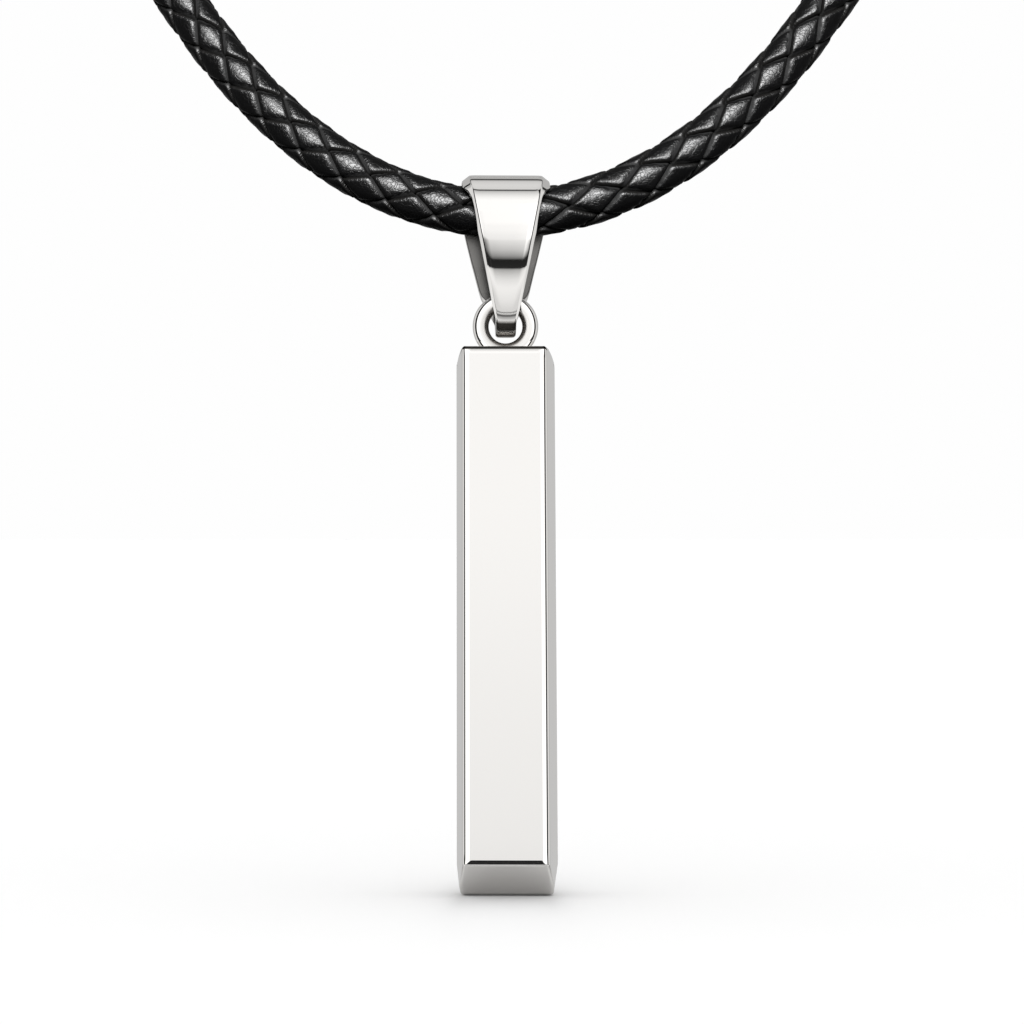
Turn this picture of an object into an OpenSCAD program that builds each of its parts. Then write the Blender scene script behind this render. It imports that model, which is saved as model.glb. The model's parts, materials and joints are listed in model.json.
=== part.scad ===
// Bar pendant on a braided cord: a polished square bar hangs by a soldered ring
// in a tapered bail, and the bail slides on a cord loop that closes at the nape.
// Millimetres, +Z up, the front of the necklace faces -Y.
// The origin is where the loop rests on the back of the neck, and its pendant
// hangs 130 mm in front of that point and 116 mm below it.

/* [Bar] */
// Height of the bar
bar_length = 33.4; // [20:0.2:45]
// Thickness of the bar, front to back
bar_depth = 6; // [5.4:0.1:7]
// Width of the bar where its sides bow out, half way back
bar_width = 6; // [5.4:0.1:8]
// Width of the flat front and back faces
face_width = 5; // [4:0.1:5.3]
// Size of the 45 degree bevels at the foot, front and back
foot_bevel = 1.75; // [0.5:0.05:2.2]
// How far the foot narrows at each side
foot_taper = 0.28; // [0.1:0.02:0.6]
// How far each shoulder at the top rounds inwards
shoulder_inset = 0.45; // [0.2:0.05:0.8]
// Height over which the shoulders round
shoulder_height = 1.4; // [1:0.1:3]
// Turn of the hanging bar about its own height
bar_turn = -1.3; // [-3:0.1:3]

/* [Ring] */
// Thickness of the ring's wire
ring_wire = 0.98; // [0.7:0.02:1.2]
// Inner diameter of the ring
ring_hole = 2.06; // [1.9:0.02:2.6]
// Height of the ring's hole above the top of the bar
ring_rise = 0.28; // [0.1:0.02:0.4]

/* [Bail] */
// Overall height of the bail
bail_length = 9.94; // [9:0.1:12]
// Width across the top of the bail
bail_width = 5.26; // [4:0.1:7]
// Width across the tip of the bail
tip_width = 1.22; // [1:0.02:1.6]
// Thickness of the bail's strip
bail_wall = 0.5; // [0.4:0.05:0.7]
// Radius of the rounded top corners
corner_r = 0.45; // [0.2:0.05:0.8]
// Height above the cord's middle at which the sides start to taper
taper_top = 1; // [0.5:0.1:1.5]
// Sideways spread of the rear leg against the front one
rear_flare = 6.8; // [0:0.2:8]
// Depth of the two upright walls below the cord's middle
upright = 2.2; // [1.8:0.1:2.6]
// Lean of the two legs towards each other below the uprights
leg_lean = 14; // [10:0.5:15]
// Radius of the bend between an upright and its leg
bend_r = 5.8; // [3:0.1:7]
// Solid metal between the ring's seat and the tip
tip_solid = 1.6; // [1.3:0.05:1.7]
// Turn of the bail on the cord, seen from above
bail_turn = 3; // [0:0.5:4]

/* [Cord] */
// Diameter of the braided cord
cord_d = 3; // [2.5:0.1:3.2]
// Radius of the cord's curve at its lowest point
drape_r = 16.9; // [14:0.1:24]
// Lean of the hanging front of the loop towards the wearer
front_lean = 15; // [5:1:25]

/* [Clasp] */
// Diameter of the barrel clasp
clasp_d = 5; // [4.2:0.1:7]
// Length of the barrel clasp
clasp_length = 20; // [17:0.5:26]
// Radius of the barrel's rounded ends
clasp_round = 0.6; // [0.2:0.1:0.7]
// Depth of the blind hole that each end of the cord is set in
clasp_socket = 7; // [5:0.5:8]

/* [Clearances] */
// Room between the cord and the inside of the bail, for the cord's curve
cord_clear = 0.32; // [0.25:0.01:0.4]
// Gap between the ring and its seat in the bail
ring_clear = 0.12; // [0.08:0.01:0.2]
// Gap between the cord's ends and the clasp
socket_clear = 0.12; // [0.1:0.01:0.2]

/* [Hidden] */
$fn = 96;
big = 60;

// Bail heights, measured from the middle of the cord at its lowest point
loop_in = cord_d / 2 + cord_clear;
loop_out = loop_in + bail_wall;
tip_z = loop_out - bail_length;
bend_y = bend_r - loop_out;

// Ring and bar heights
ring_in_top = tip_z + tip_solid + ring_clear;
ring_z = ring_in_top - ring_hole / 2;
ring_r = (ring_hole + ring_wire) / 2;
bar_top = ring_z - ring_hole / 2 - ring_rise;
bar_foot = bar_top - bar_length;
shoulder_r = (shoulder_inset * shoulder_inset + shoulder_height * shoulder_height) / (2 * shoulder_inset);

// Cord: points of the right half from the lowest point to the nape, as x, y back, z up.
// Whole loop about 500 mm with its clasp.
cord_sides = 8;
ring_step = 7.5;
front_reach = 20;
front_step = 2.5;
nape = [0, 132.5, 116];
socket_end = clasp_length / 2 - clasp_socket + socket_clear;
front_route = [for (x = [0 : front_step : front_reach]) [x, drape(x) * tan(front_lean), drape(x)]];
side_route = [
    [32, 11, 32],
    [43, 23, 53],
    [53, 43, 76],
    [60, 66, 94],
    [62, 88, 106],
    [57, 108, 113],
    [44, 122, 116],
    [27, 130, 116],
    [13, nape[1], nape[2]],
    [socket_end, nape[1], nape[2]]
];
half_route = concat(front_route, side_route);
last = len(half_route) - 1;
route = [for (i = [-last : last]) [sign(i) * half_route[abs(i)][0], half_route[abs(i)][1], half_route[abs(i)][2]]];

// The pendant hangs below the lowest point of the cord
hang = [0, clasp_d / 2, 0] - nape;

// Height of the hanging curve at a distance x from its lowest point
function drape(x) = drape_r * ((exp(x / drape_r) + exp(-x / drape_r)) / 2 - 1);

// A smooth path through the route's points, cut into short steps
function unit(v) = v / norm(v);
function tangent(p, i) =
    i == 0 ? unit(p[1] - p[0]) :
    i == len(p) - 1 ? unit(p[i] - p[i - 1]) :
    unit(unit(p[i] - p[i - 1]) * norm(p[i + 1] - p[i]) + unit(p[i + 1] - p[i]) * norm(p[i] - p[i - 1]));
function between(p, q, m, n, t) =
    (2 * pow(t, 3) - 3 * pow(t, 2) + 1) * p + (pow(t, 3) - 2 * pow(t, 2) + t) * m
    + (3 * pow(t, 2) - 2 * pow(t, 3)) * q + (pow(t, 3) - pow(t, 2)) * n;
function steps(p, i) = max(1, round(norm(p[i + 1] - p[i]) / ring_step));
function smooth(p) = concat([p[0]], [
    for (i = [0 : len(p) - 2])
        for (k = [1 : steps(p, i)])
            between(p[i], p[i + 1], tangent(p, i) * norm(p[i + 1] - p[i]),
                tangent(p, i + 1) * norm(p[i + 1] - p[i]), k / steps(p, i))
]);

// One ring of the tube, square to the path; the loop's own plane keeps the rings from twisting
loop_normal = unit([0, -nape[2], nape[1]]);
function ring_at(path, i, r) =
    let (t = tangent(path, i), side = unit(cross(t, loop_normal)), up = cross(side, t))
    [for (k = [0 : cord_sides - 1]) path[i] + r * (cos(k * 360 / cord_sides) * side + sin(k * 360 / cord_sides) * up)];

module tube(path, r) {
    n = len(path);
    points = [for (i = [0 : n - 1]) each ring_at(path, i, r)];
    sides = [
        for (i = [0 : n - 2])
            for (k = [0 : cord_sides - 1])
                let (a = i * cord_sides + k, b = i * cord_sides + (k + 1) % cord_sides)
                each [[a, b, b + cord_sides], [a, b + cord_sides, a + cord_sides]]
    ];
    start_cap = [[for (k = [0 : cord_sides - 1]) cord_sides - 1 - k]];
    end_cap = [[for (k = [0 : cord_sides - 1]) (n - 1) * cord_sides + k]];
    polyhedron(points, concat(sides, start_cap, end_cap));
}

// Flat shapes swept straight through: one seen from the side, one seen from the front
module across_x() { rotate([90, 0, 90]) linear_extrude(big, center = true) children(); }
module across_y() { rotate([90, 0, 0]) linear_extrude(big, center = true) children(); }

module ring_torus(wire) {
    translate([0, 0, ring_z]) rotate([90, 0, 0]) rotate_extrude() translate([ring_r, 0]) circle(d = wire);
}

// Section of the bar seen from above: flat front and back, sides bowed out half way
module bar_section() {
    polygon([
        [-face_width / 2, -bar_depth / 2],
        [face_width / 2, -bar_depth / 2],
        [bar_width / 2, 0],
        [face_width / 2, bar_depth / 2],
        [-face_width / 2, bar_depth / 2],
        [-bar_width / 2, 0]
    ]);
}

// The bar from the side: a flat top, and a foot bevelled front and back
module bar_side() {
    polygon([
        [-bar_depth / 2, bar_top],
        [-bar_depth / 2, bar_foot + foot_bevel],
        [-bar_depth / 2 + foot_bevel, bar_foot],
        [bar_depth / 2 - foot_bevel, bar_foot],
        [bar_depth / 2, bar_foot + foot_bevel],
        [bar_depth / 2, bar_top]
    ]);
}

// The bar from the front: round shoulders at the top and a foot that narrows a little
module bar_front() {
    difference() {
        polygon([
            [-bar_width / 2, bar_top],
            [-bar_width / 2, bar_foot + foot_bevel],
            [-bar_width / 2 + foot_taper, bar_foot],
            [bar_width / 2 - foot_taper, bar_foot],
            [bar_width / 2, bar_foot + foot_bevel],
            [bar_width / 2, bar_top]
        ]);
        shoulder_cut();
        mirror([1, 0]) shoulder_cut();
    }
}

// What the round shoulder leaves of its corner, on the right
module shoulder_cut() {
    translate([bar_width / 2 - shoulder_r, bar_top - shoulder_height]) difference() {
        square([shoulder_r + 1, shoulder_height + 1]);
        circle(shoulder_r);
    }
}

module bar() {
    color("silver") translate(hang) rotate([0, 0, bar_turn]) {
        intersection() {
            translate([0, 0, bar_foot]) linear_extrude(bar_length) bar_section();
            across_x() bar_side();
            across_y() bar_front();
        }
        ring_torus(ring_wire);
    }
}

// Radius of the rounded bottom between two leaning legs that ends at height low
function bottom_r(inset, low) =
    cos(leg_lean) * (leg_y(inset) - (leg_z(inset) - low) * tan(leg_lean)) / (1 - sin(leg_lean));
function leg_y(inset) = (bend_r - inset) * cos(leg_lean) - bend_y;
function leg_z(inset) = -upright - (bend_r - inset) * sin(leg_lean);

// The bail from the side, drawn in from its outer face by inset and closed at height low:
// round over the cord, upright, a soft bend, then legs that lean together
module bail_side(inset, low) {
    r = loop_out - inset;
    foot_r = bottom_r(inset, low);
    foot_y = foot_r * cos(leg_lean);
    foot_z = low + foot_r - foot_r * sin(leg_lean);
    circle(r);
    translate([-r, -upright]) square([2 * r, upright]);
    polygon([
        [-r, -upright],
        [-leg_y(inset), leg_z(inset)],
        [-foot_y, foot_z],
        [foot_y, foot_z],
        [leg_y(inset), leg_z(inset)],
        [r, -upright]
    ]);
    for (side = [-1, 1]) {
        intersection() {
            translate([-side * bend_y, -upright]) circle(bend_r - inset);
            translate([min(0, side * big), leg_z(inset)]) square([big, -upright - leg_z(inset)]);
        }
    }
    translate([0, low + foot_r]) circle(foot_r);
}

// The bail from the front: a wide strip with rounded top corners
module bail_front() {
    flat = bail_width - 2 * corner_r;
    translate([-bail_width / 2, tip_z]) square([bail_width, bail_length - corner_r]);
    translate([-flat / 2, tip_z]) square([flat, bail_length]);
    for (side = [-1, 1]) {
        translate([side * flat / 2, loop_out - corner_r]) circle(corner_r);
    }
}

// Half space outside one tapered side of the bail; the rear leg spreads wider than the front one
module beside_bail() {
    taper = atan((bail_width - tip_width) / 2 / (taper_top - tip_z));
    translate([bail_width / 2, 0, taper_top]) rotate([0, taper, -rear_flare])
        translate([0, -big / 2, -big / 2]) cube([big, big, big]);
}

module bail() {
    color("silver") translate(hang) difference() {
        rotate([0, 0, bail_turn]) difference() {
            intersection() {
                across_x() bail_side(0, tip_z);
                across_y() bail_front();
            }
            across_x() bail_side(bail_wall, ring_in_top);
            beside_bail();
            mirror([1, 0, 0]) beside_bail();
        }
        rotate([0, 0, bar_turn]) ring_torus(ring_wire + 2 * ring_clear);
    }
}

// Half section of the barrel clasp, from its axis outwards, with a blind socket at each end
module clasp_section() {
    r = clasp_d / 2;
    half = clasp_length / 2;
    difference() {
        union() {
            translate([0, -half]) square([r - clasp_round, clasp_length]);
            translate([0, clasp_round - half]) square([r, clasp_length - 2 * clasp_round]);
            for (end = [-1, 1]) {
                translate([r - clasp_round, end * (half - clasp_round)]) circle(clasp_round);
            }
        }
        for (end = [-1, 1]) {
            translate([-1, end * (half - clasp_socket / 2 + 0.5) - clasp_socket / 2 - 0.5])
                square([cord_d / 2 + socket_clear + 1, clasp_socket + 1]);
        }
        translate([-big, -big / 2]) square([big, big]);
    }
}

module clasp() {
    color("silver") translate([0, clasp_d / 2, 0]) rotate([0, 90, 0]) rotate_extrude() clasp_section();
}

module cord() {
    color("black") translate(hang) tube(smooth(route), cord_d / 2);
}

cord();
clasp();
bail();
bar();
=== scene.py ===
# Bar pendant on a braided leather cord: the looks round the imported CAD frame
import json
import math
from itertools import combinations
import bpy
import bmesh
import numpy as np
from mathutils import Matrix, Vector


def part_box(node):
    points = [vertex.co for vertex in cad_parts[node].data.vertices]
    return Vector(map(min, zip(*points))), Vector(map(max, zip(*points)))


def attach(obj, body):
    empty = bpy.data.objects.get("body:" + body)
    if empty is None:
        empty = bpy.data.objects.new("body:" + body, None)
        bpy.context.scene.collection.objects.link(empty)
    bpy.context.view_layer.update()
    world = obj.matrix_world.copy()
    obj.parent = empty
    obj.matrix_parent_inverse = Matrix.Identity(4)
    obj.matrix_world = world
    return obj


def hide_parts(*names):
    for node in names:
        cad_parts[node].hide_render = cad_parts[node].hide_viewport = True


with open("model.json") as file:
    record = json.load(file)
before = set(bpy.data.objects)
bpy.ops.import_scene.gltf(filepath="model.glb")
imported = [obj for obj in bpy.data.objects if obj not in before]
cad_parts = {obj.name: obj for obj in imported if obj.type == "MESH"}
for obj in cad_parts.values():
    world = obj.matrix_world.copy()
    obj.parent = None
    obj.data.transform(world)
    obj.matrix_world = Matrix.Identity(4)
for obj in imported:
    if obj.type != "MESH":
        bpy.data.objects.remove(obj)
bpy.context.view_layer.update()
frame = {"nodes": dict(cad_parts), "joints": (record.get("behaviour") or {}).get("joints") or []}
jointNamed = {j["name"]: j for j in frame["joints"]}
cordLow = Vector(jointNamed["bail_swing"]["pos_m"])  # the cord's middle at its lowest point
ringCentre = Vector(jointNamed["bar_swing"]["pos_m"])
mm = 0.001

# Camera, set square on to the bar as in the photo
viewSettings = {
    "lens": 140.0,  # mm
    "sensor": 36.0,
    "clip": (0.01, 20.0),  # metres
    "across": 62.7 * mm,  # what the picture's width covers at the cord
    "right": 0.4 * mm,  # camera axis right of the cord's lowest point
    "below": 18.28 * mm,  # camera axis below it
}


def makeCamera():
    s = viewSettings
    data = bpy.data.cameras.new("photoCamera")
    data.lens = s["lens"]
    data.sensor_width = s["sensor"]
    data.clip_start, data.clip_end = s["clip"]
    data.dof.use_dof = False
    camera = bpy.data.objects.new("photoCamera", data)
    distance = s["across"] * s["lens"] / s["sensor"]
    camera.location = cordLow + Vector((s["right"], -distance, -s["below"]))
    camera.rotation_euler = (math.radians(90), 0, 0)
    bpy.context.scene.collection.objects.link(camera)
    bpy.context.scene.camera = camera


makeCamera()
print("stage: camera")


# Short ways to add nodes: a value may be a number, a vector or another node's output
def setInput(tree, node, socket, value):
    if isinstance(value, bpy.types.NodeSocket):
        tree.links.new(value, node.inputs[socket])
    else:
        node.inputs[socket].default_value = value


def addNode(tree, kind, values=None, **settings):
    node = tree.nodes.new(kind)
    for name, value in settings.items():
        setattr(node, name, value)
    for socket, value in (values or {}).items():
        setInput(tree, node, socket, value)
    return node


def calc(tree, operation, *terms):
    return addNode(tree, "ShaderNodeMath", dict(enumerate(terms)), operation=operation).outputs[0]


def vectorCalc(tree, operation, *terms):
    node = addNode(tree, "ShaderNodeVectorMath", dict(enumerate(terms)), operation=operation)
    return node.outputs["Value" if operation in ("DOT_PRODUCT", "LENGTH") else "Vector"]


def scaled(tree, vector, factor):
    return addNode(tree, "ShaderNodeVectorMath", {0: vector, "Scale": factor}, operation="SCALE").outputs["Vector"]


def mapped(tree, value, fromMin, fromMax, toMin, toMax, kind="LINEAR"):
    values = {"Value": value, 1: fromMin, 2: fromMax, 3: toMin, 4: toMax}
    return addNode(tree, "ShaderNodeMapRange", values, interpolation_type=kind, clamp=True).outputs["Result"]


def blended(tree, factor, first, second):
    return addNode(tree, "ShaderNodeMix", {"Factor": factor, 2: first, 3: second}).outputs[0]


def tinted(tree, factor, first, second):
    values = {"Factor": factor, 6: first, 7: second}  # by number, as its colours share their names with its values
    return addNode(tree, "ShaderNodeMix", values, data_type="RGBA").outputs[2]


def combined(tree, x, y, z):
    return addNode(tree, "ShaderNodeCombineXYZ", {"X": x, "Y": y, "Z": z}).outputs[0]


def grey(tree, tone):
    return combined(tree, tone, tone, tone)


def newGroup(name, kind, inputs, outputs):
    tree = bpy.data.node_groups.new(name, kind)
    for label, socketType, start in inputs:
        socket = tree.interface.new_socket(label, in_out="INPUT", socket_type=socketType)
        if start is not None:
            socket.default_value = start
    for label, socketType in outputs:
        tree.interface.new_socket(label, in_out="OUTPUT", socket_type=socketType)
    return tree, tree.nodes.new("NodeGroupInput").outputs, tree.nodes.new("NodeGroupOutput").inputs


# Studio: white for the camera and for diffuse light, and in reflections soft walls and cards.
# Azimuth is measured either way from the front, elevation up from the horizon, in degrees.
# A wall is a table of levels by elevation; frontTable is the front wall below the horizon.
studioSettings = {
    "white": 0.991,  # seamless background
    "backWall": {0: 0.54, 5: 0.54, 14: 0.46, 53: 0.44, 56: 0.06, 62: 0.06, 65: 0.48, 72: 0.62, 90: 0.7},
    "frontWall": {0: 0.95, 2.4: 0.96, 4.2: 1.03, 36: 1.03, 46: 0.92, 53: 0.8, 60: 0.67, 65.5: 0.54, 68.5: 0.28,
                  69.5: 0.03, 72.3: 0.03, 73.3: 0.62, 76: 0.66, 90: 0.7},
    "frontTable": {-90: 0.015, -72: 0.015, -66: 0.09, -52: 0.06, -47: 0.45, -41: 0.8, -37: 0.47, -34.5: 0.35,
                   -33: 0.1, -32: 0.1, -31: 0.4, -30: 0.85, -29.5: 0.2, -28.9: 0.2, -28.2: 0.7, -27.2: 0.65,
                   -26.4: 0.79, -25: 0.9, -23.9: 0.77, -23.3: 0.63, -22.4: 0.35, -21.9: 0.02, -8.6: 0.015,
                   -8: 0.14, -7.2: 0.29, -6.2: 0.52, -5.1: 0.845, -2.7: 0.885, -0.55: 0.94, 0: 0.95},
    "cards": [
        {"name": "backCorner", "azimuth": (100, 148), "elevation": (-91, 52), "soft": 5, "level": 0.45},
        {"name": "sidePanel", "azimuth": (64, 98), "elevation": (-60, 62), "soft": 5, "level": 0.7},
        {"name": "sideFlag", "azimuth": (28, 60), "elevation": (-70, 70), "soft": 2, "level": 0.01},
        {"name": "tableSheet", "azimuth": (-1, 181), "elevation": (-91, -22), "soft": 1, "level": 0.82},
        {"name": "tableBack", "azimuth": (95, 181), "elevation": (-91, -24), "soft": 3, "level": 0.16},
        {"name": "tableShadow", "azimuth": (-1, 181), "elevation": (-91, -55), "soft": 3, "level": 0.015},
        {"name": "front", "azimuth": (-1, 28), "elevation": (-93, 93), "soft": 1.6, "level": "front"},
        {"name": "frontRim", "azimuth": (8, 27), "elevation": (-7, 26), "soft": 2.5, "level": 1.25},
    ],
}


def wallLevel(tree, elevation, stops):
    along = mapped(tree, elevation, min(stops), max(stops), 0.0, 1.0)
    node = addNode(tree, "ShaderNodeValToRGB", {"Fac": along})
    elements = node.color_ramp.elements
    for place, level in stops.items():
        share = (place - min(stops)) / (max(stops) - min(stops))
        element = elements.new(share) if 0 < share < 1 else elements[-1 if share else 0]
        element.color = (level, level, level, 1)
    return node.outputs["Color"]


def softCardGroup():
    names = ("Azimuth", "Elevation", "Left", "Right", "Low", "High", "Soft")
    tree, take, give = newGroup("softCard", "ShaderNodeTree", [(n, "NodeSocketFloat", 1.0) for n in names],
                                [("Mask", "NodeSocketFloat")])
    mask = 1.0
    for angle, edge, rising in (("Azimuth", "Left", True), ("Azimuth", "Right", False),
                                ("Elevation", "Low", True), ("Elevation", "High", False)):
        before = calc(tree, "SUBTRACT", take[edge], take["Soft"])
        after = calc(tree, "ADD", take[edge], take["Soft"])
        ends = (0.0, 1.0) if rising else (1.0, 0.0)
        mask = calc(tree, "MULTIPLY", mask, mapped(tree, take[angle], before, after, *ends, "SMOOTHSTEP"))
    tree.links.new(mask, give["Mask"])
    return tree


def makeStudio():
    s = studioSettings
    world = bpy.data.worlds.new("studio")
    bpy.context.scene.world = world
    world.use_nodes = True
    tree = world.node_tree
    tree.nodes.clear()
    direction = addNode(tree, "ShaderNodeTexCoord").outputs["Generated"]
    part = addNode(tree, "ShaderNodeSeparateXYZ", {0: direction}).outputs
    towards = calc(tree, "MULTIPLY", part["Y"], -1.0)
    azimuth = calc(tree, "ABSOLUTE", calc(tree, "DEGREES", calc(tree, "ARCTAN2", part["X"], towards)))
    elevation = calc(tree, "DEGREES", calc(tree, "ARCSINE", part["Z"]))
    group = softCardGroup()
    above = calc(tree, "GREATER_THAN", elevation, 0.0)
    below, over = (wallLevel(tree, elevation, s[name]) for name in ("frontTable", "frontWall"))
    front = blended(tree, above, below, over)
    level = wallLevel(tree, elevation, s["backWall"])
    for card in s["cards"]:
        node = addNode(tree, "ShaderNodeGroup", node_tree=group, label=card["name"])
        values = {"Azimuth": azimuth, "Elevation": elevation, "Soft": card["soft"],
                  "Left": card["azimuth"][0], "Right": card["azimuth"][1],
                  "Low": card["elevation"][0], "High": card["elevation"][1]}
        for socket, value in values.items():
            setInput(tree, node, socket, value)
        cardLevel = front if card["level"] == "front" else card["level"]
        level = blended(tree, node.outputs["Mask"], level, cardLevel)
    glossy = addNode(tree, "ShaderNodeLightPath").outputs["Is Glossy Ray"]
    background = addNode(tree, "ShaderNodeBackground", {"Color": blended(tree, glossy, s["white"], level)})
    output = addNode(tree, "ShaderNodeOutputWorld")
    tree.links.new(background.outputs[0], output.inputs["Surface"])
    bpy.context.scene.view_settings.view_transform = "Standard"


makeStudio()
print("stage: studio")


# Materials
def newMaterial(name):
    material = bpy.data.materials.new(name)
    material.use_nodes = True
    tree = material.node_tree
    tree.nodes.clear()
    shader = addNode(tree, "ShaderNodeBsdfPrincipled")
    output = addNode(tree, "ShaderNodeOutputMaterial")
    tree.links.new(shader.outputs[0], output.inputs["Surface"])
    return material, tree, shader


polishSettings = {
    "colour": (0.985, 0.968, 0.944, 1),
    "Roughness": 0.045,
    "Cloud Scale": 900.0,  # soft patches about a millimetre wide, left by the polishing wheel
    "Cloud Amount": 0.02,
    "insideShadeColour": (0.27, 0.25, 0.23, 1),  # inside the ring: partly duller steel that the wheel doesn't reach, partly painted shade
    "paintedShadeColour": (0.05, 0.047, 0.043, 1),  # painted shade: along the bar's top edge, and in part inside the bail
    "insideRoughness": 0.38,
}


def polishGroup():
    names = ("Roughness", "Cloud Scale", "Cloud Amount")
    inputs = [(name, "NodeSocketFloat", polishSettings[name]) for name in names]
    tree, take, give = newGroup("polishMarks", "ShaderNodeTree", inputs, [("Roughness", "NodeSocketFloat")])
    place = addNode(tree, "ShaderNodeTexCoord").outputs["Object"]
    cloud = addNode(tree, "ShaderNodeTexNoise", {"Vector": place, "Scale": take["Cloud Scale"], "Detail": 3.0})
    patch = calc(tree, "SUBTRACT", cloud.outputs[0], 0.5)
    change = calc(tree, "MULTIPLY", patch, take["Cloud Amount"])
    tree.links.new(calc(tree, "ADD", take["Roughness"], change), give["Roughness"])
    return tree


def steelMaterial(name, group, shadeColour=None):
    s = polishSettings
    material, tree, shader = newMaterial(name)
    shader.inputs["Base Color"].default_value = s["colour"]
    shader.inputs["Metallic"].default_value = 1.0
    marks = addNode(tree, "ShaderNodeGroup", node_tree=group)
    for socket in ("Roughness", "Cloud Scale", "Cloud Amount"):
        marks.inputs[socket].default_value = s[socket]
    rough = marks.outputs["Roughness"]
    # the darker colour is painted shade (inside the ring also duller steel), mixed in by the inner attribute
    if shadeColour:
        inner = addNode(tree, "ShaderNodeAttribute", attribute_name="inner").outputs["Fac"]
        tree.links.new(tinted(tree, inner, s["colour"], s[shadeColour]), shader.inputs["Base Color"])
        rough = blended(tree, inner, rough, s["insideRoughness"])
    tree.links.new(rough, shader.inputs["Roughness"])
    return material


# Leather. Its patterns go by mm across and along a lace; its lift is 1 where a lace lies on top
# and -1 where it lies below.
leatherSettings = {
    "colour": (0.00008, 0.00008, 0.00009, 1),
    "edgeSheenColour": (0.0005, 0.00048, 0.00046, 1),  # cut edge of a lace, lighter: its own colour and, where the lace lies on top, a painted highlight
    "halfWidth": 0.755,  # mm
    "edgeFrom": 0.9,  # share of the half width where the cut edge starts
    "edgeSoft": 0.08,
    "edgeLift": (-0.2, 0.6),  # the lighter edge shows from one lift to the other
    "specular": 0.045,
    "roughness": (0.34, 0.4),  # on a wrinkle and in a crack
    "diveRoughness": 0.8,  # where a lace dives
    "diveLift": (0.2, 0.85),
    "swayScale": 2.4,  # how the wrinkles wander
    "sway": 0.55,
    "wrinkleScale": 6.0,
    "wrinkleStretch": 0.5,  # wrinkles run across the lace
    "crack": 0.16,
    "wrinkleHeight": 0.6,  # shares of the whole height
    "grainHeight": 0.75,
    "grainScale": 19.0,
    "bump": 0.42,
    "height": 0.03 * mm,
}


def leatherMaterial():
    s = leatherSettings
    material, tree, shader = newMaterial("braidLeather")
    uv = addNode(tree, "ShaderNodeUVMap", uv_map="strandUv").outputs["UV"]
    part = addNode(tree, "ShaderNodeSeparateXYZ", {0: uv}).outputs
    lift = addNode(tree, "ShaderNodeAttribute", attribute_name="lift").outputs["Fac"]
    noise = addNode(tree, "ShaderNodeTexNoise", {"Vector": uv, "Scale": s["swayScale"], "Detail": 2.0})
    sway = vectorCalc(tree, "SUBTRACT", noise.outputs["Color"], (0.5, 0.5, 0.5))
    swayed = vectorCalc(tree, "ADD", uv, scaled(tree, sway, s["sway"]))
    stretched = vectorCalc(tree, "MULTIPLY", swayed, (s["wrinkleStretch"], 1.0, 1.0))
    cells = addNode(tree, "ShaderNodeTexVoronoi",
                    {"Vector": stretched, "Scale": s["wrinkleScale"], "Randomness": 1.0},
                    feature="DISTANCE_TO_EDGE", voronoi_dimensions="2D")
    wrinkle = mapped(tree, cells.outputs["Distance"], 0.0, s["crack"], 0.0, 1.0, "SMOOTHSTEP")
    grain = addNode(tree, "ShaderNodeTexNoise", {"Vector": stretched, "Scale": s["grainScale"], "Detail": 2.0})
    folds = calc(tree, "MULTIPLY", wrinkle, s["wrinkleHeight"])
    pores = calc(tree, "MULTIPLY", grain.outputs[0], s["grainHeight"])
    height = calc(tree, "ADD", folds, pores)
    bump = addNode(tree, "ShaderNodeBump", {"Height": height, "Strength": s["bump"], "Distance": s["height"]})
    tree.links.new(bump.outputs[0], shader.inputs["Normal"])
    # the lace's lighter cut edge, partly a painted highlight where the lace lies on top
    side = calc(tree, "DIVIDE", calc(tree, "ABSOLUTE", part["X"]), s["halfWidth"])
    edgeBand = mapped(tree, side, s["edgeFrom"], s["edgeFrom"] + s["edgeSoft"], 0.0, 1.0, "SMOOTHSTEP")
    proud = mapped(tree, lift, *s["edgeLift"], 0.0, 1.0, "SMOOTHSTEP")
    edge = calc(tree, "MULTIPLY", edgeBand, proud)
    tree.links.new(tinted(tree, edge, s["colour"], s["edgeSheenColour"]), shader.inputs["Base Color"])
    rough = mapped(tree, wrinkle, 0.0, 1.0, s["roughness"][1], s["roughness"][0])
    dull = mapped(tree, lift, *s["diveLift"], 1.0, 0.0, "SMOOTHSTEP")
    tree.links.new(blended(tree, dull, rough, s["diveRoughness"]), shader.inputs["Roughness"])
    shader.inputs["Specular IOR Level"].default_value = s["specular"]
    return material


# Puts a finished mesh in the scene as a piece that rides on a body
def addPiece(name, mesh, body, nodes, material):
    piece = bpy.data.objects.new(name, mesh)
    bpy.context.scene.collection.objects.link(piece)
    mesh.materials.clear()
    mesh.materials.append(material)
    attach(piece, body)
    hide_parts(*nodes)
    return piece


# The mesh that one modifier makes of another; the inputs are those of a node group, by name
def finishedMesh(mesh, kind, settings, inputs=None):
    holder = bpy.data.objects.new("holder", mesh)
    bpy.context.scene.collection.objects.link(holder)
    modifier = holder.modifiers.new(kind.lower(), kind)
    for name, value in settings.items():
        setattr(modifier, name, value)
    for item in modifier.node_group.interface.items_tree if inputs else ():
        if item.in_out == "INPUT" and item.name in inputs:
            modifier[item.identifier] = inputs[item.name]
    depsgraph = bpy.context.evaluated_depsgraph_get()
    made = bpy.data.meshes.new_from_object(holder.evaluated_get(depsgraph), depsgraph=depsgraph)
    bpy.data.objects.remove(holder)
    return made


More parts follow.
